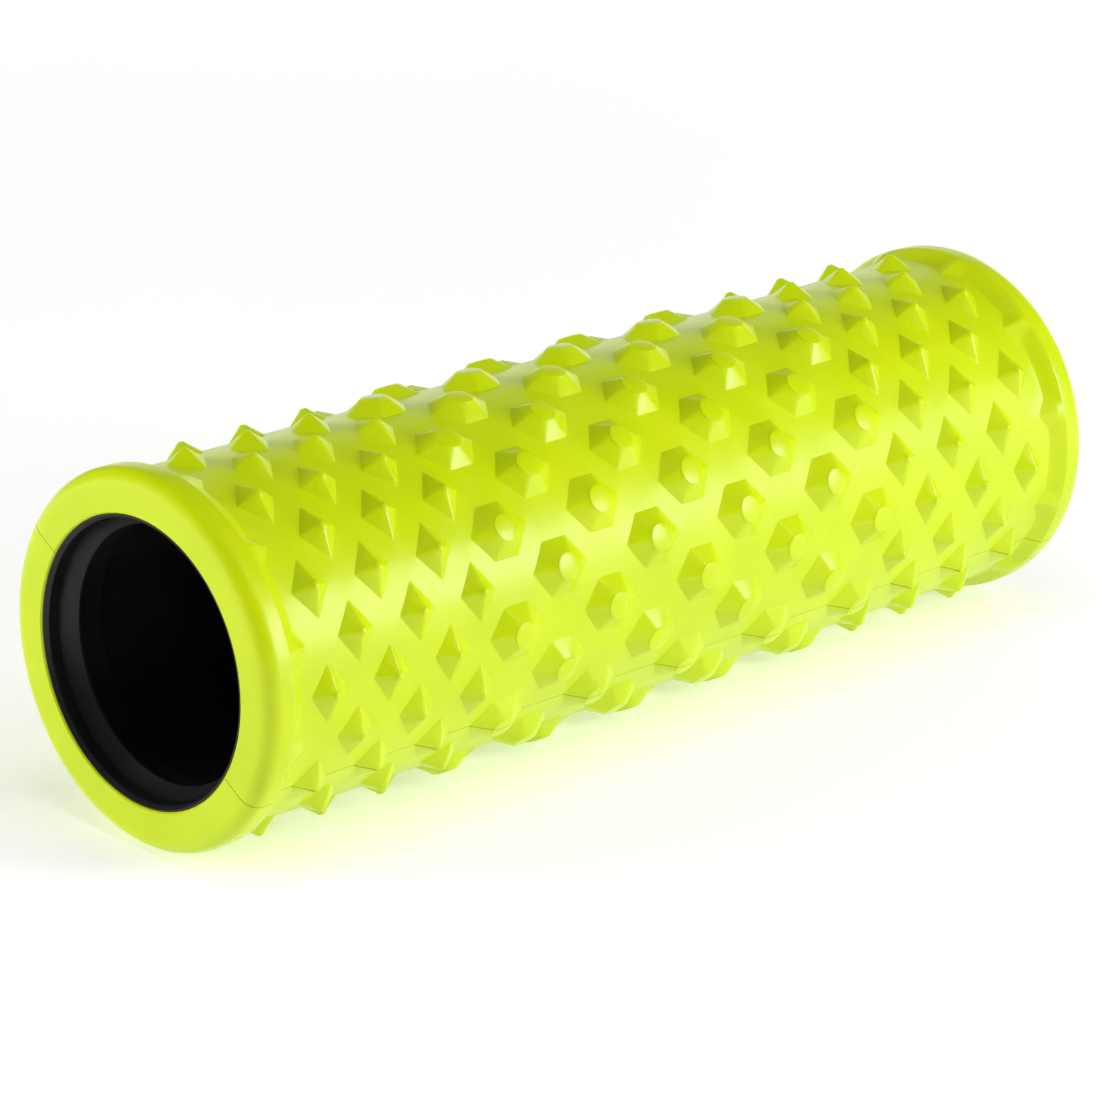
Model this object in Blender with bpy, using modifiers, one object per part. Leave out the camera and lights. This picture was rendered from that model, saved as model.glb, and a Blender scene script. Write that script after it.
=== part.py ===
"""Hollow foam massage roller, lying on its side with its axis along X.

Two moulded foam half shells are glued round a stiff plastic core tube, and a
conical-lipped ring stiffens each mouth of the tube.  Metres, +Z up, origin at
the middle of the axis.
"""
import math

import bmesh
import bpy
from mathutils import Matrix

# Driving dimensions
LENGTH = 0.450            # end face to end face
BODY_RADIUS = 0.0688      # valleys between the studs
STUD_HEIGHT = 0.0054      # stud tip above the valleys
FOAM_BORE_RADIUS = 0.0563
FLANGE_RADIUS = 0.0732    # smooth collar at each end
FLANGE_LAND = 0.0116      # end face to the edge of the collar
FLANGE_FOOT = 0.0181      # end face to the foot of the collar's inner slope
RIM_ROUND = 0.0063        # radius that rounds the collar's outer rim
RIM_STEPS = 3
LIP_CHAMFER = 0.0006      # broken edge of the foam at the bore
FIT_GAP = 0.0003          # clearance left between glued pieces
SEGMENTS = 44             # two facets to each line of studs

# Stud pattern
LINES = 22                # lines of studs around the roller
HEX_PITCH = 0.02475       # along the axis
HEX_RINGS_EACH_SIDE = 4   # about the middle ring
DIAMOND_PITCH = 0.01525
DIAMOND_RINGS = 6         # at each end
FIRST_DIAMOND = 0.1931    # middle of the roller to the outermost diamond ring
STUD_ROOT = 0.0028        # how far a stud is sunk below the valleys
DIAMOND_BASE = (0.0124, 0.0146)   # half length, half width at the root
DIAMOND_TIP = 0.09                # tip size over root size
HEX_BASE = (0.0196, 0.0155)       # corner radius along and across the axis
HEX_TIP = 0.17
SEAM_LINE_ANGLE = math.radians(-122.73)   # from +Z towards +Y

# Gussets that tie each collar to the body
RIB_WIDTH = 0.0048
RIB_OUTER = 0.0110        # end face to the buried end of a rib
RIB_FOOT = 0.0238         # end face to the rib's toe
RIB_TOP_RADIUS = 0.0730
RIB_TOE_RADIUS = 0.0685
RIB_ROOT_RADIUS = 0.0650

# Core tube and the ring in each of its mouths
TUBE_RADIUS = FOAM_BORE_RADIUS - FIT_GAP
TUBE_WALL = 0.0018
TUBE_RECESS = 0.0005      # end of the tube behind the foam's end face
RING_RADIUS = TUBE_RADIUS - TUBE_WALL - FIT_GAP
RING_WALL = 0.0016
RING_START = 0.0085       # end face to the ring's outer edge
RING_LIP_DEPTH = 0.0128   # end face to the lip's inner edge
RING_END = 0.0260
RING_LIP_RADIUS = 0.0497
RING_LIP_LAND = 0.0012

LIME = (0.60, 0.80, 0.0)
BLACK = (0.012, 0.012, 0.013)

LINE_STEP = 2.0 * math.pi / LINES
HALF_LENGTH = LENGTH / 2.0
TIP_RADIUS = BODY_RADIUS + STUD_HEIGHT
ROOT_RADIUS = BODY_RADIUS - STUD_ROOT


def clear_scene():
    for item in list(bpy.data.objects):
        bpy.data.objects.remove(item, do_unlink=True)


def new_collection(name):
    collection = bpy.data.collections.new(name)
    bpy.context.scene.collection.children.link(collection)
    return collection


def make_material(name, color, roughness):
    material = bpy.data.materials.new(name)
    material.use_nodes = True
    shader = material.node_tree.nodes["Principled BSDF"]
    shader.inputs["Base Color"].default_value = (*color, 1.0)
    shader.inputs["Roughness"].default_value = roughness
    shader.inputs["Metallic"].default_value = 0.0
    return material


def add_object(name, mesh, collection, material=None):
    item = bpy.data.objects.new(name, mesh)
    collection.objects.link(item)
    if material:
        mesh.materials.append(material)
    return item


def turned(name, section, collection, material=None):
    """Turn a closed section, given as (distance along X, radius), about the X axis."""
    mesh = bpy.data.meshes.new(name)
    bm = bmesh.new()
    verts = [bm.verts.new((radius, 0.0, along)) for along, radius in section]
    for first, second in zip(verts, verts[1:] + verts[:1]):
        bm.edges.new((first, second))
    bm.to_mesh(mesh)
    bm.free()
    item = add_object(name, mesh, collection, material)
    item.rotation_euler = (0.0, math.radians(90.0), 0.0)
    screw = item.modifiers.new("turn", "SCREW")
    screw.axis = "Z"
    screw.angle = 2.0 * math.pi
    screw.steps = SEGMENTS
    screw.render_steps = SEGMENTS
    screw.use_merge_vertices = True
    screw.merge_threshold = 0.00001
    screw.use_smooth_shade = False
    return item


def cutter(item):
    item.hide_render = True
    item.display_type = "WIRE"
    return item


def combine(item, other, operation):
    boolean = item.modifiers.new(operation.lower(), "BOOLEAN")
    boolean.operation = operation
    boolean.solver = "EXACT"
    boolean.object = other


def on_line(line, along):
    """Matrix that carries +Z to a stud line's direction, at a place along the axis."""
    angle = SEAM_LINE_ANGLE + line * LINE_STEP
    return Matrix.Translation((along, 0.0, 0.0)) @ Matrix.Rotation(-angle, 4, "X")


def stud_rings():
    """Yield (place along X, is a hexagon) for each ring, from one end to the other."""
    for step in range(DIAMOND_RINGS):
        yield -FIRST_DIAMOND + step * DIAMOND_PITCH, False
    for step in range(-HEX_RINGS_EACH_SIDE, HEX_RINGS_EACH_SIDE + 1):
        yield step * HEX_PITCH, True
    for step in reversed(range(DIAMOND_RINGS)):
        yield FIRST_DIAMOND - step * DIAMOND_PITCH, False


def add_stud(bm, hexagon, placement):
    sides, base, tip = (6, HEX_BASE, HEX_TIP) if hexagon else (4, DIAMOND_BASE, DIAMOND_TIP)
    corner_on_x = Matrix.Rotation(math.radians(90.0), 4, "Z")
    size = Matrix.Diagonal((base[0], base[1], 1.0, 1.0))
    middle = Matrix.Translation((0.0, 0.0, (ROOT_RADIUS + TIP_RADIUS) / 2.0))
    bmesh.ops.create_cone(
        bm, cap_ends=True, segments=sides, radius1=1.0, radius2=tip,
        depth=TIP_RADIUS - ROOT_RADIUS, matrix=placement @ middle @ size @ corner_on_x)


def make_studs(collection):
    mesh = bpy.data.meshes.new("studs")
    bm = bmesh.new()
    for ring, (along, hexagon) in enumerate(stud_rings()):
        for line in range(ring % 2, LINES, 2):
            add_stud(bm, hexagon, on_line(line, along))
    bm.to_mesh(mesh)
    bm.free()
    return cutter(add_object("studs", mesh, collection))


def add_rib(bm, end, placement):
    """A wedge with its thick end in the collar; end is -1 or +1."""
    outer = HALF_LENGTH - RIB_OUTER
    toe = HALF_LENGTH - RIB_FOOT
    cube = bmesh.ops.create_cube(bm, size=1.0)["verts"]
    for vert in cube:
        at_toe = vert.co.x < 0.0
        on_top = vert.co.z > 0.0
        top = RIB_TOE_RADIUS if at_toe else RIB_TOP_RADIUS
        vert.co.x = toe if at_toe else outer
        vert.co.y *= RIB_WIDTH
        vert.co.z = top if on_top else RIB_ROOT_RADIUS
    if end < 0:
        half_turn = Matrix.Rotation(math.pi, 4, "Z")
        bmesh.ops.transform(bm, matrix=half_turn, verts=cube)
    bmesh.ops.transform(bm, matrix=placement, verts=cube)


def make_ribs(collection):
    mesh = bpy.data.meshes.new("ribs")
    bm = bmesh.new()
    for end in (-1, 1):
        for line in range(1, LINES, 2):
            add_rib(bm, end, on_line(line, 0.0))
    bm.to_mesh(mesh)
    bm.free()
    return cutter(add_object("ribs", mesh, collection))


def collar_outline():
    """Half of the foam's outer outline, from the bore at the +X end to the slope's foot."""
    points = [(HALF_LENGTH - LIP_CHAMFER, FOAM_BORE_RADIUS),
              (HALF_LENGTH, FOAM_BORE_RADIUS + LIP_CHAMFER)]
    for step in range(RIM_STEPS + 1):
        turn = math.radians(90.0) * step / RIM_STEPS
        points.append((HALF_LENGTH - RIM_ROUND + RIM_ROUND * math.cos(turn),
                       FLANGE_RADIUS - RIM_ROUND + RIM_ROUND * math.sin(turn)))
    points.append((HALF_LENGTH - FLANGE_LAND, FLANGE_RADIUS))
    points.append((HALF_LENGTH - FLANGE_FOOT, BODY_RADIUS))
    return points


def foam_section():
    right = collar_outline()
    left = [(-along, radius) for along, radius in reversed(right)]
    return right + left


def make_half(name, side, studs, ribs, parts, cutters, material):
    """One half of the sleeve; side +1 lies above the seam plane, -1 below it."""
    half = turned(name, foam_section(), parts, material)
    combine(half, studs, "UNION")
    combine(half, ribs, "UNION")
    mesh = bpy.data.meshes.new(name + "_keep")
    bm = bmesh.new()
    reach = 4.0 * FLANGE_RADIUS
    bmesh.ops.create_cube(bm, size=1.0, matrix=Matrix.Diagonal((2.0 * LENGTH, reach, reach, 1.0)))
    bm.to_mesh(mesh)
    bm.free()
    keep = cutter(add_object(name + "_keep", mesh, cutters))
    lift = side * (reach / 2.0 + FIT_GAP / 2.0)
    across_seam = SEAM_LINE_ANGLE + math.radians(90.0)
    keep.location = (0.0, lift * math.sin(across_seam), lift * math.cos(across_seam))
    keep.rotation_euler = (-across_seam, 0.0, 0.0)
    combine(half, keep, "INTERSECT")
    return half


def make_core_tube(parts, material):
    end = HALF_LENGTH - TUBE_RECESS
    inner = TUBE_RADIUS - TUBE_WALL
    section = [(end, inner), (end, TUBE_RADIUS), (-end, TUBE_RADIUS), (-end, inner)]
    return turned("core_tube", section, parts, material)


def make_end_ring(name, end, parts, material):
    """Ring glued in the tube's mouth: a short skirt with a conical lip facing outwards."""
    lip_back = RING_LIP_DEPTH + RING_LIP_LAND
    skirt_inner = RING_RADIUS - RING_WALL
    slope = (RING_LIP_DEPTH - RING_START) / (RING_RADIUS - RING_LIP_RADIUS)
    meet = lip_back - slope * (skirt_inner - RING_LIP_RADIUS)
    outline = [(RING_LIP_DEPTH, RING_LIP_RADIUS), (RING_START, RING_RADIUS),
               (RING_END, RING_RADIUS), (RING_END, skirt_inner),
               (meet, skirt_inner), (lip_back, RING_LIP_RADIUS)]
    section = [(HALF_LENGTH - depth, radius) for depth, radius in outline]
    if end < 0:
        section = [(-along, radius) for along, radius in reversed(section)]
    return turned(name, section, parts, material)


def main():
    clear_scene()
    parts = new_collection("foam_roller")
    cutters = new_collection("cutters")
    foam = make_material("foam", LIME, 0.45)
    tube_plastic = make_material("core_plastic", BLACK, 0.35)
    ring_plastic = make_material("ring_plastic", BLACK, 0.40)
    studs = make_studs(cutters)
    ribs = make_ribs(cutters)
    make_half("foam_half_upper", 1, studs, ribs, parts, cutters, foam)
    make_half("foam_half_lower", -1, studs, ribs, parts, cutters, foam)
    make_core_tube(parts, tube_plastic)
    make_end_ring("end_ring_left", -1, parts, ring_plastic)
    make_end_ring("end_ring_right", 1, parts, ring_plastic)


main()
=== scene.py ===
import math

import bmesh
import bpy
from mathutils import Matrix, Vector


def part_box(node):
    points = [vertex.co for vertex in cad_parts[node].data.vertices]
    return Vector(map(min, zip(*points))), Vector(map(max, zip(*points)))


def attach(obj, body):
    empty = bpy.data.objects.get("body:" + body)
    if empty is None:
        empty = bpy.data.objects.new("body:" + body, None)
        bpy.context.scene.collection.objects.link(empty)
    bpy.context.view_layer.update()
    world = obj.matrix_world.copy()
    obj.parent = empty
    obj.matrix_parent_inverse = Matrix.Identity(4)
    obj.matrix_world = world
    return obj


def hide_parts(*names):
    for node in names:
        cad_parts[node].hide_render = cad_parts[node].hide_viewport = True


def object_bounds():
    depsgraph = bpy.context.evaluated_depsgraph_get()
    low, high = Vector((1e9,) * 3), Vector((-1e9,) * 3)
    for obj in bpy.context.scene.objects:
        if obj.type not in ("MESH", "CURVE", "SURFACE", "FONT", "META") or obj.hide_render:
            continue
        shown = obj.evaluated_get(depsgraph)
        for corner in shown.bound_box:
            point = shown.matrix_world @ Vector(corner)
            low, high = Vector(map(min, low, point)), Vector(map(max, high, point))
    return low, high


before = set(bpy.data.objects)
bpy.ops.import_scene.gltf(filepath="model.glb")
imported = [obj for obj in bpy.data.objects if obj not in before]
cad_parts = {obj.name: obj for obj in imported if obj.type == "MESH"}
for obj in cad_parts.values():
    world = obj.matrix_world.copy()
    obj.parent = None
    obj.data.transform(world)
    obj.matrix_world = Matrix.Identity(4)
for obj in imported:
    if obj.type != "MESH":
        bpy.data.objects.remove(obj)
cad_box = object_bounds()

# Overall sizes, read from the fixed frame (metres)
HALF_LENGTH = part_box("foam_half_upper")[1].x
FLOOR_HEIGHT = cad_box[0][2]
TUBE_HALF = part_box("core_tube")[1].x
TUBE_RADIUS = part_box("core_tube")[1].z
RING_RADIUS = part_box("end_ring_left")[1].z
RING_TO_END = HALF_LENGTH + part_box("end_ring_left")[1].x

# The foam sheet is moulded flat: x along the roller, y round it, z out from its valleys
BODY_RADIUS = 0.0688
BORE_RADIUS = 0.0563
LINES = 22
LINE_STEP = 2.0 * math.pi / LINES
LINE_ARC = BODY_RADIUS * LINE_STEP
SEAM_ANGLE = math.radians(-122.73)      # line 0, from +Z towards +Y
HALF_ARC = LINE_ARC * LINES / 2
SEAM_GAP = 0.0003
WELD = 0.000002

# Stud rings along the roller
HEX_PITCH = 0.02475
HEX_RINGS_EACH_SIDE = 4
DIAMOND_PITCH = 0.01525
DIAMOND_RINGS = 6
FIRST_DIAMOND = 0.1931
HEX_CELL_FLAT = 0.00725                 # half the straight side of a hexagon's patch

# Studs; each tip is a list of (radius, height) rings
DIAMOND_CORNERS = [(0.0087, 0.0), (0.0, 0.0118), (-0.0087, 0.0), (0.0, -0.0118)]
HEX_CORNERS = [(0.0140, 0.0), (0.0059, 0.01095), (-0.0059, 0.01095),
               (-0.0140, 0.0), (-0.0059, -0.01095), (0.0059, -0.01095)]
HEX_TIP = [(0.0052, 0.0048), (0.0050, 0.0051), (0.0044, 0.00525), (0.0024, 0.0054)]
DIAMOND_TIP = [(0.0020, 0.0044), (0.0015, 0.0050), (0.0008, 0.0054)]
RIDGE_BAND = 0.0006                     # softens the ridges between a stud's faces
BASE_BAND = 0.0004                      # softens the foot of a stud
TOP_BAND = 0.0005                       # softens the edge of a stud's tip
CORNER_EASE = 0.45                      # how far a corner draws back to the chord across it
QUARTERS = (0.0, 0.25, 0.5, 0.75)

# Collar at each end of the foam, as distances in from the end face
COLLAR_HEIGHT = 0.0044
COLLAR_LAND = 0.0116
COLLAR_FOOT = 0.0181
LAND_EDGE = 0.0016                      # a flat strip along the land's inner edge
RIM_ROUND = 0.0063
RIM_STEPS = 7
LIP_BREAK = 0.0006

# Ribs are roof shaped: a crest, and a wide side to left and right of it
RIB_TOE = 0.0229
RIB_CREST = 0.0007
RIB_SPREAD_FOOT = 0.0066
RIB_SPREAD_LAND = 0.0046
RIB_RISE = [0.0024, 0.0038, 0.0044]     # crest height at the foot, half way up and at the land
RIB_SIDE = [0.0, 0.04, 0.55, 1.0]       # how far down its side each column of a rib is
RIB_EDGE_ROUND = 0.00035
RIB_EDGE_ANGLE = math.radians(9.0)      # any sharper edge in a pocket is rounded
POCKET_MARGIN = 0.0005

# Turned pieces
SHARP_ANGLE = math.radians(35.0)
TURN_STEPS = 128
TURNED_EDGE_ROUND = 0.0002
TURNED_EDGE_ANGLE = math.radians(20.0)
MOUTH_FROM = 0.0066                     # the end rings curve in from here
MOUTH_STEPS = 8
MOUTH_CURVE = 1.5

# Colours of the foam and of the black plastic, in linear light
LIME_DEEP = (0.510, 0.650, 0.0, 1.0)
LIME_FULL = (0.560, 0.695, 0.0, 1.0)
# The pores' colour is painted shade: a darker, greener lime where shade falls in the small hollows
LIME_PORE_SHADE = (0.42, 0.58, 0.0, 1.0)
LIME_DUST = (0.72, 0.78, 0.30, 1.0)
BLACK_DEEP = (0.010, 0.010, 0.011, 1.0)
BLACK_FULL = (0.016, 0.016, 0.017, 1.0)
BLACK_DUST = (0.10, 0.10, 0.095, 1.0)
TONE_RANGE = (0.3, 0.7)                 # the parts of the noises that become tone, patches and specks
PATCH_RANGE = (0.42, 0.68)
SPECK_RANGE = (0.68, 0.78)
PATCH_DUST = 0.35                       # how much dust a patch holds, beside a speck's

# Studio
FLOOR_HALF = 15.0
FLOOR_DEEP = (0.88, 0.88, 0.88, 1.0)
FLOOR_FULL = (0.92, 0.92, 0.92, 1.0)
FLOOR_GLOW = 0.34
FAR_FLOOR_GLOW = 1.00                   # the floor runs off into plain white
GLOW_NEAR = 0.35
GLOW_FAR = 3.00
WORLD_GLOW = 0.10
BACKDROP_WHITE = 1.0


# ---------------------------------------------------------------- meshes

def to_object(name, bm):
    """Turn a finished bmesh into an object of the scene."""
    mesh = bpy.data.meshes.new(name)
    bm.to_mesh(mesh)
    bm.free()
    item = bpy.data.objects.new(name, mesh)
    bpy.context.scene.collection.objects.link(item)
    return item


def side_points(corners, shares):
    """Points round an outline; each side gives one at every share of its length."""
    points = []
    for here in range(len(corners)):
        start, stop = Vector(corners[here]), Vector(corners[(here + 1) % len(corners)])
        points += [start.lerp(stop, share) for share in shares]
    return points


def scaled(points, factor):
    """Points moved out from the middle by a factor."""
    return [point * factor for point in points]


def ridge_points(corners, band):
    """Each eased corner of a stud's outline, the edges of its soft ridges, and the middle of each side."""
    points = []
    for here in range(len(corners)):
        start, stop = Vector(corners[here]), Vector(corners[(here + 1) % len(corners)])
        share = band / (stop - start).length
        points += [start.lerp(stop, at) for at in (0.0, share, 0.5, 1.0 - share)]
    for corner in range(0, len(points), len(QUARTERS)):
        chord = (points[corner - 1] + points[corner + 1]) / 2.0
        points[corner] = points[corner].lerp(chord, CORNER_EASE)
    return points


def tip_points(corners, radius):
    """A rounded ring near the tip, with a point for each one on the outline."""
    points = []
    for here in range(len(corners)):
        after = (here + 1) % len(corners)
        start = math.atan2(corners[here][1], corners[here][0])
        stop = math.atan2(corners[after][1], corners[after][0])
        sweep = (stop - start) % (2.0 * math.pi)
        for share in QUARTERS:
            angle = start + sweep * share
            points.append(Vector((math.cos(angle), math.sin(angle))) * radius)
    return points


def raise_ring(bm, cap, points, height):
    """Extrude the cap and lay its corners on the next ring of points."""
    below = [vert.co.copy() for vert in cap.verts]
    cap = bmesh.ops.extrude_discrete_faces(bm, faces=[cap])["faces"][0]
    first = cap.verts[0].co
    start = min(range(len(below)), key=lambda corner: (first - below[corner]).length)
    for step, vert in enumerate(cap.verts):
        x, y = points[(start + step) % len(points)]
        vert.co = (x, y, height)
    return cap


def stud_patch(border, corners, tip_rings):
    """A stud on its flat patch of sheet, centred on the origin."""
    ring = side_points(border, QUARTERS)
    bm = bmesh.new()
    verts = bmesh.ops.create_circle(bm, cap_ends=True, segments=len(ring), radius=1.0)["verts"]
    for vert, point in zip(verts, ring):
        vert.co = (point.x, point.y, 0.0)
    bm.faces.ensure_lookup_table()
    cap = bm.faces[0]
    base = ridge_points(corners, RIDGE_BAND)
    reach = max(x for x, y in corners)
    radius, height = tip_rings[0]
    top = tip_points(corners, radius)
    run = reach - radius
    cap = raise_ring(bm, cap, scaled(base, 1.0 + BASE_BAND / reach), 0.0)
    cap = raise_ring(bm, cap, base, 0.0)
    for share in (BASE_BAND / run, 1.0 - TOP_BAND / run):
        slope = [low.lerp(high, share) for low, high in zip(base, top)]
        cap = raise_ring(bm, cap, slope, height * share)
    for radius, height in tip_rings:
        cap = raise_ring(bm, cap, tip_points(corners, radius), height)
    mesh = bpy.data.meshes.new("stud_patch")
    bm.to_mesh(mesh)
    bm.free()
    return mesh


def stud_rings():
    """(place along the roller, is it hexagons) for each ring, from one end to the other."""
    for step in range(DIAMOND_RINGS):
        yield -FIRST_DIAMOND + step * DIAMOND_PITCH, False
    for step in range(-HEX_RINGS_EACH_SIDE, HEX_RINGS_EACH_SIDE + 1):
        yield step * HEX_PITCH, True
    for step in reversed(range(DIAMOND_RINGS)):
        yield FIRST_DIAMOND - step * DIAMOND_PITCH, False


def stud_meshes():
    """(ring number, mesh) for every ring; rings with the same surroundings share a mesh."""
    rings = list(stud_rings())
    foot = HALF_LENGTH - COLLAR_FOOT
    made = {}
    for number, (along, hexagon) in enumerate(rings):
        before = -foot
        after = foot
        if number > 0:
            before = rings[number - 1][0] + (HEX_CELL_FLAT if rings[number - 1][1] else 0.0)
        if number < len(rings) - 1:
            after = rings[number + 1][0] - (HEX_CELL_FLAT if rings[number + 1][1] else 0.0)
        left, right = before - along, after - along
        key = (hexagon, round(left, 6), round(right, 6))
        if key not in made:
            if hexagon:
                flat = HEX_CELL_FLAT
                border = [(right, 0.0), (flat, LINE_ARC), (-flat, LINE_ARC),
                          (left, 0.0), (-flat, -LINE_ARC), (flat, -LINE_ARC)]
                made[key] = stud_patch(border, HEX_CORNERS, HEX_TIP)
            else:
                border = [(right, 0.0), (0.0, LINE_ARC), (left, 0.0), (0.0, -LINE_ARC)]
                made[key] = stud_patch(border, DIAMOND_CORNERS, DIAMOND_TIP)
        yield number, along, made[key]


def collar_profile():
    """(in from the end face, pocket height, crest height, rib spread) rows, from the foot out."""
    foot, land = COLLAR_FOOT, COLLAR_LAND
    rows = []
    for step, crest in enumerate(RIB_RISE):
        climb = step / (len(RIB_RISE) - 1)
        rows.append((foot + climb * (land - foot), COLLAR_HEIGHT * climb, crest,
                     RIB_SPREAD_FOOT + climb * (RIB_SPREAD_LAND - RIB_SPREAD_FOOT)))
    level = [(land - LAND_EDGE, COLLAR_HEIGHT)]
    for step in range(RIM_STEPS + 1):
        turn = math.radians(90.0) * step / RIM_STEPS
        level.append((RIM_ROUND - RIM_ROUND * math.sin(turn),
                      COLLAR_HEIGHT - RIM_ROUND + RIM_ROUND * math.cos(turn)))
    wall = BODY_RADIUS - BORE_RADIUS
    level += [(0.0, -wall / 2.0), (0.0, LIP_BREAK - wall), (LIP_BREAK, -wall)]
    return rows + [(inset, height, height, RIB_SPREAD_LAND) for inset, height in level]


def collar_patch():
    """The collar over two line steps, with one rib in the middle, at the +X end."""
    profile = collar_profile()
    toe_rows = 2
    rib_foot, columns_each_side = 3, 6
    rows, columns = len(profile) + toe_rows, 2 * columns_each_side + 1
    bm = bmesh.new()
    bmesh.ops.create_grid(bm, x_segments=rows - 1, y_segments=columns - 1, size=1.0)
    foot = HALF_LENGTH - COLLAR_FOOT
    for vert in bm.verts:
        row = round((vert.co.x + 1.0) / 2.0 * (rows - 1))
        place_across = round((vert.co.y + 1.0) / 2.0 * (columns - 1)) - columns_each_side
        side = math.copysign(1.0, place_across)
        column = abs(place_across)
        inset, pocket, crest, spread = profile[max(row - toe_rows, 0)]
        # columns 0 to 2 are the rib's crest and side, 3 its foot, 4 to 6 the rest of the pocket
        plain = max(column - rib_foot + 1, 0) * LINE_ARC / 4.0
        rib_columns = [0.0, RIB_CREST, (RIB_CREST + spread) / 2.0, spread]
        across = rib_columns[column] if column < len(rib_columns) else plain
        zigzag = FIRST_DIAMOND + plain / LINE_ARC * (foot - FIRST_DIAMOND)
        if row == 0:
            vert.co = (zigzag, side * plain, 0.0)
        elif row == 1 and column < rib_foot:
            vert.co = (HALF_LENGTH - RIB_TOE, 0.0, 0.0)
        elif row == 1:
            vert.co = (foot if column == rib_foot else (zigzag + foot) / 2.0, side * across, 0.0)
        else:
            share = RIB_SIDE[min(column, len(RIB_SIDE) - 1)]
            vert.co = (HALF_LENGTH - inset, side * across, crest + share * (pocket - crest))
    bmesh.ops.remove_doubles(bm, verts=bm.verts, dist=WELD)
    mesh = bpy.data.meshes.new("collar_patch")
    bm.to_mesh(mesh)
    bm.free()
    return mesh


def place(mat, mesh, along, line, flip=False):
    """Copy a patch onto the mat, at a place along it and a line of studs."""
    count = len(mat.verts)
    mat.from_mesh(mesh)
    verts = mat.verts[count:]
    if flip:
        bmesh.ops.scale(mat, verts=verts, vec=(-1.0, 1.0, 1.0))
    bmesh.ops.translate(mat, verts=verts, vec=(along, line * LINE_ARC, 0.0))


def flat_mat():
    """Half the sleeve, laid out flat as a closed slab with its studs and collars."""
    mat = bmesh.new()
    for number, along, mesh in stud_meshes():
        for line in range(number % 2, LINES // 2 + 1, 2):
            place(mat, mesh, along, line)
    collar = collar_patch()
    for line in range(1, LINES // 2 + 1, 2):
        place(mat, collar, 0.0, line)
        place(mat, collar, 0.0, line, flip=True)
    bmesh.ops.remove_doubles(mat, verts=mat.verts, dist=WELD)
    bmesh.ops.recalc_face_normals(mat, faces=mat.faces)
    soften_collar_edges(mat)
    for place_of_seam, outwards in ((0.0, -1.0), (HALF_ARC, 1.0)):
        geometry = mat.verts[:] + mat.edges[:] + mat.faces[:]
        bmesh.ops.bisect_plane(mat, geom=geometry, dist=WELD, plane_co=(0.0, place_of_seam, 0.0),
                               plane_no=(0.0, outwards, 0.0), clear_outer=True)
        for vert in mat.verts:
            if abs(vert.co.y - place_of_seam) < 2.0 * WELD:
                vert.co.y = place_of_seam - outwards * SEAM_GAP / 2.0
    close_slab(mat)
    return mat


def soften_collar_edges(mat):
    """Round the ribs and the feet of the pockets a little."""
    edges = []
    for edge in mat.edges:
        middle = (edge.verts[0].co + edge.verts[1].co) / 2.0
        inset = HALF_LENGTH - abs(middle.x)
        in_pocket = COLLAR_LAND - POCKET_MARGIN < inset < RIB_TOE + WELD
        if in_pocket and len(edge.link_faces) == 2 and edge.calc_face_angle() > RIB_EDGE_ANGLE:
            edges.append(edge)
    bmesh.ops.bevel(mat, geom=edges, offset=RIB_EDGE_ROUND, segments=2, profile=0.5, affect="EDGES",
                    material=-1, clamp_overlap=True)


def close_slab(mat):
    """Join the two bore edges by the slab's back, then fill its two seam walls."""
    bore = BORE_RADIUS - BODY_RADIUS
    open_edges = [edge for edge in mat.edges if edge.is_boundary]
    ends = [edge for edge in open_edges if all(abs(vert.co.z - bore) < WELD for vert in edge.verts)]
    bmesh.ops.bridge_loops(mat, edges=ends)
    walls = [edge for edge in mat.edges if edge.is_boundary]
    bmesh.ops.holes_fill(mat, edges=walls, sides=0)
    bmesh.ops.recalc_face_normals(mat, faces=mat.faces)


def roll_up(mat, side):
    """Bend the flat slab round the axis; side is 1 for the upper half, -1 for the lower."""
    for vert in mat.verts:
        angle = SEAM_ANGLE + side * vert.co.y / BODY_RADIUS
        radius = BODY_RADIUS + vert.co.z
        vert.co = (vert.co.x, radius * math.sin(angle), radius * math.cos(angle))
    bmesh.ops.recalc_face_normals(mat, faces=mat.faces)
    if mat.calc_volume(signed=True) < 0.0:      # bending the lower half turns it inside out
        bmesh.ops.reverse_faces(mat, faces=mat.faces)


def foam_half(name, node, side, material):
    """One half shell of the sleeve, with its studs, ribs and collars."""
    mat = flat_mat()
    roll_up(mat, side)
    half = to_object(name, mat)
    half.data.materials.append(material)
    half.data.shade_smooth()
    half.data.set_sharp_from_angle(angle=SHARP_ANGLE)
    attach(half, "root")
    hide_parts(node)
    return half


def turned(name, section, material):
    """Spin a closed section of (along, radius) corners about the X axis."""
    bm = bmesh.new()
    verts = [bm.verts.new((along, 0.0, radius)) for along, radius in section]
    edges = [bm.edges.new(pair) for pair in zip(verts, verts[1:] + verts[:1])]
    bmesh.ops.spin(bm, geom=verts + edges, axis=(1.0, 0.0, 0.0), cent=(0.0, 0.0, 0.0),
                   angle=2.0 * math.pi, steps=TURN_STEPS, use_merge=True)
    bmesh.ops.remove_doubles(bm, verts=bm.verts, dist=WELD)
    bmesh.ops.recalc_face_normals(bm, faces=bm.faces)
    item = to_object(name, bm)
    item.data.materials.append(material)
    item.data.shade_smooth()
    item.data.set_sharp_from_angle(angle=SHARP_ANGLE)
    bevel = item.modifiers.new("soft_edges", "BEVEL")
    bevel.width = TURNED_EDGE_ROUND
    bevel.segments = 3
    bevel.limit_method = "ANGLE"
    bevel.angle_limit = TURNED_EDGE_ANGLE
    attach(item, "root")
    return item


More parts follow.
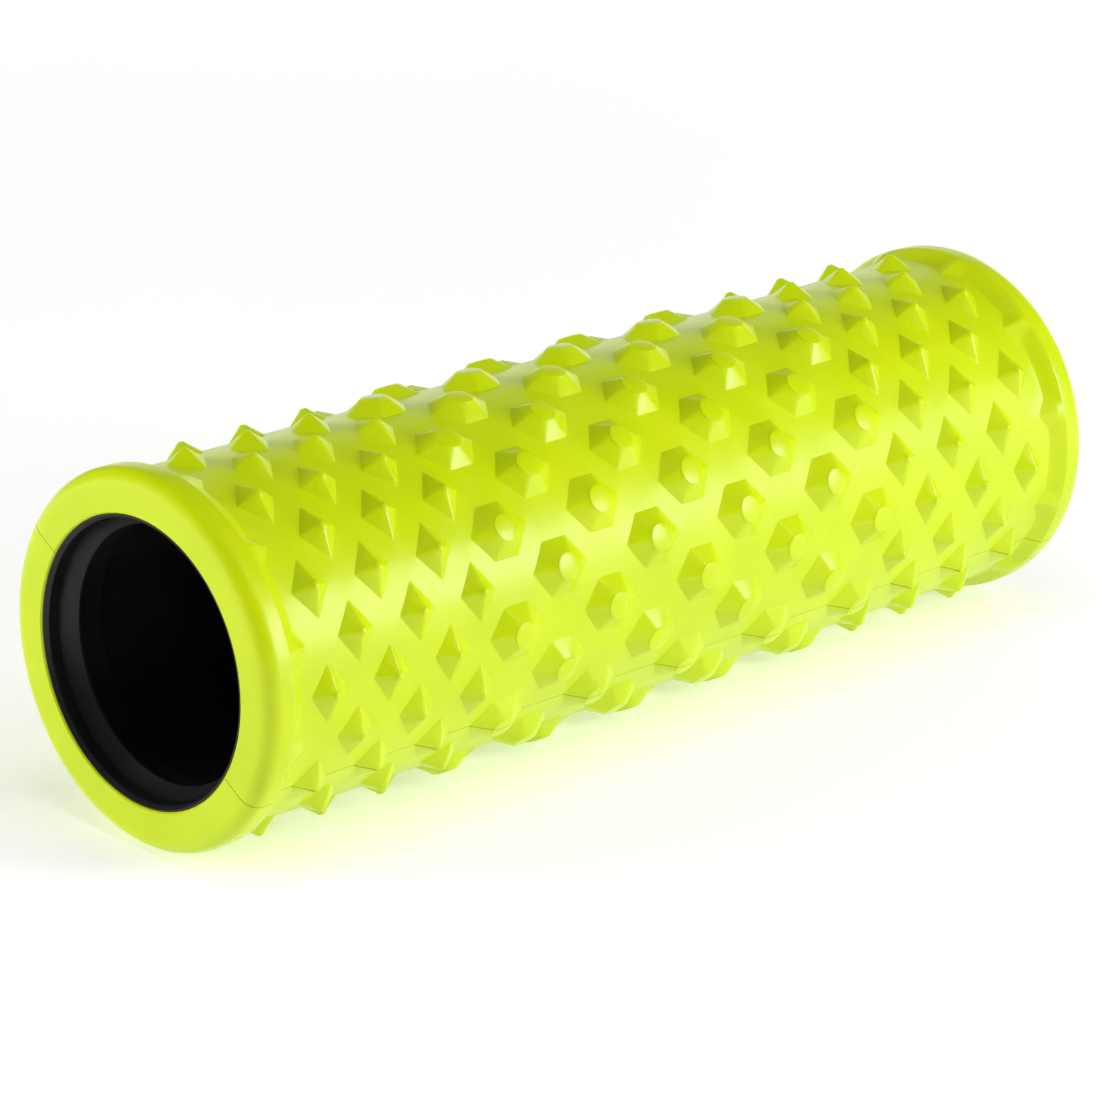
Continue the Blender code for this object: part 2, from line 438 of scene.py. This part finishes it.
def core_tube(material):
    """The tube, with its inner end edges cut back at a slope so that the rings slip in."""
    wall, end_face, slope = 0.0018, 0.0005, 0.0016
    inner = TUBE_RADIUS - wall
    section = [(TUBE_HALF - slope, inner), (TUBE_HALF, TUBE_RADIUS - end_face), (TUBE_HALF, TUBE_RADIUS),
               (-TUBE_HALF, TUBE_RADIUS), (-TUBE_HALF, TUBE_RADIUS - end_face), (slope - TUBE_HALF, inner)]
    tube = turned("core_tube_turned", section, material)
    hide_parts("core_tube")
    return tube


def end_ring(name, node, end, material):
    """A ring whose mouth curves in, trumpet fashion, from the tube's wall to a thin lip."""
    lip_depth, lip_radius, lip_thickness = 0.0128, 0.0497, 0.0012
    skirt_wall, skirt_from = 0.0016, 0.0158
    skirt = RING_RADIUS - skirt_wall
    outline = []
    for step in range(MOUTH_STEPS + 1):
        share = 1.0 - step / MOUTH_STEPS
        outline.append((MOUTH_FROM + (lip_depth - MOUTH_FROM) * share,
                        RING_RADIUS - (RING_RADIUS - lip_radius) * share ** MOUTH_CURVE))
    outline += [(RING_TO_END, RING_RADIUS), (RING_TO_END, skirt), (skirt_from, skirt),
                (lip_depth + lip_thickness, lip_radius)]
    section = [(end * (HALF_LENGTH - depth), radius) for depth, radius in outline]
    ring = turned(name, section, material)
    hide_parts(node)
    return ring


# ---------------------------------------------------------------- materials

class Nodes:
    """Adds nodes to a tree and joins them."""

    def __init__(self, tree):
        self.tree = tree

    def add(self, kind, **settings):
        node = self.tree.nodes.new(kind)
        for name, value in settings.items():
            setattr(node, name, value)
        return node

    def feed(self, socket, source):
        """Link a socket to another one, or set its value."""
        if isinstance(source, bpy.types.NodeSocket):
            self.tree.links.new(source, socket)
        else:
            socket.default_value = source

    def noise(self, vector, scale, detail, roughness=0.5):
        node = self.add("ShaderNodeTexNoise")
        self.feed(node.inputs["Vector"], vector)
        self.feed(node.inputs["Scale"], scale)
        node.inputs["Detail"].default_value = detail
        node.inputs["Roughness"].default_value = roughness
        return node.outputs["Fac"]

    def math(self, operation, first, second=0.0):
        node = self.add("ShaderNodeMath", operation=operation)
        self.feed(node.inputs[0], first)
        self.feed(node.inputs[1], second)
        return node.outputs[0]

    def remap(self, value, from_low, from_high, to_low, to_high):
        node = self.add("ShaderNodeMapRange", interpolation_type="SMOOTHSTEP")
        for socket, source in zip(node.inputs, (value, from_low, from_high, to_low, to_high)):
            self.feed(socket, source)
        return node.outputs[0]

    def blend(self, factor, first, second):
        node = self.add("ShaderNodeMix", data_type="RGBA")
        for name, source in (("Factor_Float", factor), ("A_Color", first), ("B_Color", second)):
            self.feed([socket for socket in node.inputs if socket.identifier == name][0], source)
        return [socket for socket in node.outputs if socket.identifier == "Result_Color"][0]


def new_group(name, inputs, outputs):
    tree = bpy.data.node_groups.new(name, "ShaderNodeTree")
    for socket, kind in inputs:
        tree.interface.new_socket(name=socket, in_out="INPUT", socket_type=kind)
    for socket in outputs:
        tree.interface.new_socket(name=socket, in_out="OUTPUT", socket_type="NodeSocketFloat")
    nodes = Nodes(tree)
    return tree, nodes, nodes.add("NodeGroupInput").outputs, nodes.add("NodeGroupOutput").inputs


def moulded_skin_group():
    """The skin a mould leaves: fine grain with small closed pores, and a slow drift of tone."""
    tree, nodes, given, out = new_group(
        "moulded_skin", [("Vector", "NodeSocketVector"), ("Grain Scale", "NodeSocketFloat"),
                         ("Pore Depth", "NodeSocketFloat")], ["Height", "Tone", "Pores"])
    pore_to_grain = 0.45
    pore_middle, pore_edge = 0.08, 0.3
    grain = nodes.noise(given["Vector"], given["Grain Scale"], detail=4.0, roughness=0.6)
    pore = nodes.add("ShaderNodeTexVoronoi", feature="F1")
    nodes.feed(pore.inputs["Vector"], given["Vector"])
    nodes.feed(pore.inputs["Scale"], nodes.math("MULTIPLY", given["Grain Scale"], pore_to_grain))
    pores = nodes.remap(pore.outputs["Distance"], pore_middle, pore_edge, 1.0, 0.0)
    sunk = nodes.math("MULTIPLY", pores, given["Pore Depth"])
    nodes.feed(out["Height"], nodes.math("SUBTRACT", grain, sunk))
    nodes.feed(out["Tone"], nodes.noise(given["Vector"], scale=28.0, detail=3.0))
    nodes.feed(out["Pores"], pores)
    return tree


def handling_group():
    """What use leaves on a roller: rubbed where it stands proud, a little dust where it is low."""
    tree, nodes, given, out = new_group(
        "handling", [("Vector", "NodeSocketVector"), ("Low Radius", "NodeSocketFloat"),
                     ("High Radius", "NodeSocketFloat")], ["Rubbed", "Dust"])
    split = nodes.add("ShaderNodeSeparateXYZ")
    nodes.feed(split.inputs[0], given["Vector"])
    squares = nodes.math("ADD", nodes.math("MULTIPLY", split.outputs["Y"], split.outputs["Y"]),
                         nodes.math("MULTIPLY", split.outputs["Z"], split.outputs["Z"]))
    radius = nodes.math("SQRT", squares)
    height = nodes.remap(radius, given["Low Radius"], given["High Radius"], 0.0, 1.0)
    cloud = nodes.noise(given["Vector"], scale=60.0, detail=5.0, roughness=0.65)
    patches = nodes.remap(cloud, *PATCH_RANGE, 0.0, 1.0)
    grit = nodes.noise(given["Vector"], scale=900.0, detail=2.0)
    specks = nodes.remap(grit, *SPECK_RANGE, 0.0, 1.0)
    nodes.feed(out["Rubbed"], nodes.math("MULTIPLY", height, nodes.remap(patches, 0.0, 1.0, 0.5, 1.0)))
    low = nodes.math("SUBTRACT", 1.0, height)
    dust = nodes.math("MAXIMUM", specks, nodes.math("MULTIPLY", patches, PATCH_DUST))
    nodes.feed(out["Dust"], nodes.math("MULTIPLY", low, dust))
    return tree


def new_material(name):
    """A material with its nodes, its shader and the object coordinates."""
    material = bpy.data.materials.new(name)
    material.use_nodes = True
    nodes = Nodes(material.node_tree)
    coordinates = nodes.add("ShaderNodeTexCoord").outputs["Object"]
    return material, nodes, material.node_tree.nodes["Principled BSDF"], coordinates


def placed_group(nodes, group, coordinates, **values):
    """A node group in a material, with its own values, such as pore_depth for Pore Depth."""
    node = nodes.add("ShaderNodeGroup", node_tree=group)
    nodes.feed(node.inputs["Vector"], coordinates)
    for name, value in values.items():
        node.inputs[name.replace("_", " ").title()].default_value = value
    return node.outputs


def bumped(nodes, shader, height, depth, strength):
    """Give a shader the relief of its skin."""
    bump = nodes.add("ShaderNodeBump")
    bump.inputs["Distance"].default_value = depth
    bump.inputs["Strength"].default_value = strength
    nodes.feed(bump.inputs["Height"], height)
    nodes.feed(shader.inputs["Normal"], bump.outputs[0])


def lime_foam(skin, handling):
    """Lime green moulded foam with a satin skin."""
    stud_rise = 0.005
    pore_shade_share, dust_share = 0.10, 0.05
    roughness, tone_rough, dust_rough, rubbed_smooth = 0.29, 0.05, 0.12, 0.04
    material, nodes, shader, coordinates = new_material("lime_moulded_foam")
    surface = placed_group(nodes, skin, coordinates, grain_scale=1500.0, pore_depth=0.5)
    touch = placed_group(nodes, handling, coordinates, low_radius=BODY_RADIUS,
                         high_radius=BODY_RADIUS + stud_rise)
    tone = nodes.remap(surface["Tone"], *TONE_RANGE, 0.0, 1.0)
    colour = nodes.blend(tone, LIME_DEEP, LIME_FULL)
    # painted shade: the pores are darkened towards a greener lime, as shade in a hollow would make them
    colour = nodes.blend(nodes.math("MULTIPLY", surface["Pores"], pore_shade_share), colour, LIME_PORE_SHADE)
    colour = nodes.blend(nodes.math("MULTIPLY", touch["Dust"], dust_share), colour, LIME_DUST)
    nodes.feed(shader.inputs["Base Color"], colour)
    rough = nodes.math("ADD", roughness, nodes.math("MULTIPLY", tone, tone_rough))
    rough = nodes.math("ADD", rough, nodes.math("MULTIPLY", touch["Dust"], dust_rough))
    rough = nodes.math("SUBTRACT", rough, nodes.math("MULTIPLY", touch["Rubbed"], rubbed_smooth))
    nodes.feed(shader.inputs["Roughness"], rough)
    shader.inputs["Specular IOR Level"].default_value = 0.40
    bumped(nodes, shader, surface["Height"], depth=0.00005, strength=0.25)
    return material


def black_plastic(name, skin, handling, roughness, inner, outer):
    """Satin black plastic, dusty at its inner radius and rubbed at its outer one."""
    dust_share = 0.06
    tone_rough, rubbed_smooth = 0.08, 0.06
    material, nodes, shader, coordinates = new_material(name)
    surface = placed_group(nodes, skin, coordinates, grain_scale=2200.0, pore_depth=0.1)
    touch = placed_group(nodes, handling, coordinates, low_radius=inner, high_radius=outer)
    tone = nodes.remap(surface["Tone"], *TONE_RANGE, 0.0, 1.0)
    colour = nodes.blend(tone, BLACK_DEEP, BLACK_FULL)
    colour = nodes.blend(nodes.math("MULTIPLY", touch["Dust"], dust_share), colour, BLACK_DUST)
    nodes.feed(shader.inputs["Base Color"], colour)
    rough = nodes.math("ADD", roughness, nodes.math("MULTIPLY", tone, tone_rough))
    rough = nodes.math("SUBTRACT", rough, nodes.math("MULTIPLY", touch["Rubbed"], rubbed_smooth))
    nodes.feed(shader.inputs["Roughness"], rough)
    shader.inputs["Specular IOR Level"].default_value = 0.3
    bumped(nodes, shader, surface["Height"], depth=0.00003, strength=0.2)
    return material


# ---------------------------------------------------------------- studio

def studio_floor():
    """A pale floor with a little glow of its own, which grows until the floor runs off into white."""
    bm = bmesh.new()
    bmesh.ops.create_grid(bm, x_segments=1, y_segments=1, size=FLOOR_HALF,
                          matrix=Matrix.Translation((0.0, 0.0, FLOOR_HEIGHT)))
    floor = to_object("studio_floor", bm)
    material, nodes, shader, coordinates = new_material("white_floor")
    tone = nodes.noise(coordinates, scale=6.0, detail=3.0)
    nodes.feed(shader.inputs["Base Color"], nodes.blend(tone, FLOOR_DEEP, FLOOR_FULL))
    shader.inputs["Roughness"].default_value = 0.85
    shader.inputs["Emission Color"].default_value = (1.0, 1.0, 1.0, 1.0)
    distance = nodes.add("ShaderNodeVectorMath", operation="LENGTH")
    nodes.feed(distance.inputs[0], coordinates)
    glow = nodes.remap(distance.outputs["Value"], GLOW_NEAR, GLOW_FAR, FLOOR_GLOW, FAR_FLOOR_GLOW)
    nodes.feed(shader.inputs["Emission Strength"], glow)
    floor.data.materials.append(material)
    return floor


def soft_box(name, compass, height, distance, size, radiance, shows_in_gloss):
    """A soft box turned to the roller, placed by its compass and height angles in degrees."""
    light = bpy.data.lights.new(name, "AREA")
    light.shape = "RECTANGLE"
    light.size, light.size_y = size
    light.energy = radiance * math.pi * light.size * light.size_y
    turn, rise = math.radians(compass), math.radians(height)
    level = distance * math.cos(rise)
    position = Vector((level * math.cos(turn), level * math.sin(turn), distance * math.sin(rise)))
    item = bpy.data.objects.new(name, light)
    aim = (-position).to_track_quat("-Z", "Y").to_matrix().to_4x4()
    item.matrix_world = Matrix.Translation(position) @ aim
    item.visible_glossy = shows_in_gloss
    bpy.context.scene.collection.objects.link(item)


def studio_sky():
    """White to the camera, and only a faint light on the roller."""
    world = bpy.data.worlds.new("studio")
    bpy.context.scene.world = world
    world.use_nodes = True
    background = world.node_tree.nodes["Background"]
    background.inputs["Color"].default_value = (1.0, 1.0, 1.0, 1.0)
    nodes = Nodes(world.node_tree)
    path = nodes.add("ShaderNodeLightPath")
    glow = nodes.remap(path.outputs["Is Camera Ray"], 0.0, 1.0, WORLD_GLOW, BACKDROP_WHITE)
    nodes.feed(background.inputs["Strength"], glow)


def studio_light():
    """A key light and a white backdrop that the foam mirrors, and fills that it doesn't."""
    soft_box("key", compass=302.0, height=17.0, distance=2.0, size=(0.95, 0.8),
             radiance=9.5, shows_in_gloss=True)
    soft_box("white_backdrop", compass=37.0, height=10.0, distance=3.0, size=(3.0, 1.6),
             radiance=1.0, shows_in_gloss=True)
    soft_box("front_fill", compass=290.0, height=14.0, distance=2.5, size=(1.2, 1.2),
             radiance=1.2, shows_in_gloss=False)
    soft_box("high_front_fill", compass=285.0, height=48.0, distance=2.5, size=(1.2, 1.2),
             radiance=3.5, shows_in_gloss=False)
    soft_box("end_fill", compass=150.0, height=16.0, distance=2.5, size=(1.4, 1.4),
             radiance=4.3, shows_in_gloss=False)
    soft_box("low_end_fill", compass=137.0, height=5.0, distance=2.5, size=(1.2, 1.2),
             radiance=6.0, shows_in_gloss=False)
    soft_box("top_fill", compass=235.0, height=76.0, distance=2.5, size=(1.2, 1.2),
             radiance=3.2, shows_in_gloss=False)
    bpy.context.scene.view_settings.view_transform = "Standard"


def camera():
    """A long lens in front of the near end, a little above the roller."""
    view = bpy.data.cameras.new("camera")
    view.sensor_width = 36.0
    view.lens = 164.12
    view.clip_end = 100.0
    position = (-1.32382, -1.33794, 0.62225)
    right = Vector((0.71468, -0.69945, 0.0))
    forward = Vector((0.66316, 0.67760, -0.31794))
    up = right.cross(forward)
    turn = Matrix((right, up, -forward)).transposed().to_4x4()
    lean_about_axis = Matrix.Rotation(math.radians(-1.29), 4, "X")
    item = bpy.data.objects.new("camera", view)
    item.matrix_world = lean_about_axis @ Matrix.Translation(position) @ turn
    bpy.context.scene.collection.objects.link(item)
    bpy.context.scene.camera = item


# ---------------------------------------------------------------- the roller in its studio

skin_group = moulded_skin_group()
touch_group = handling_group()
foam = lime_foam(skin_group, touch_group)
foam_half("foam_shell_upper", "foam_half_upper", 1, foam)
foam_half("foam_shell_lower", "foam_half_lower", -1, foam)
tube_plastic = black_plastic("black_tube_plastic", skin_group, touch_group, roughness=0.34,
                             inner=TUBE_RADIUS - 0.002, outer=TUBE_RADIUS)
ring_plastic = black_plastic("black_ring_plastic", skin_group, touch_group, roughness=0.42,
                             inner=RING_RADIUS - 0.005, outer=RING_RADIUS)
core_tube(tube_plastic)
end_ring("end_ring_left_turned", "end_ring_left", -1, ring_plastic)
end_ring("end_ring_right_turned", "end_ring_right", 1, ring_plastic)
studio_floor()
studio_sky()
studio_light()
camera()
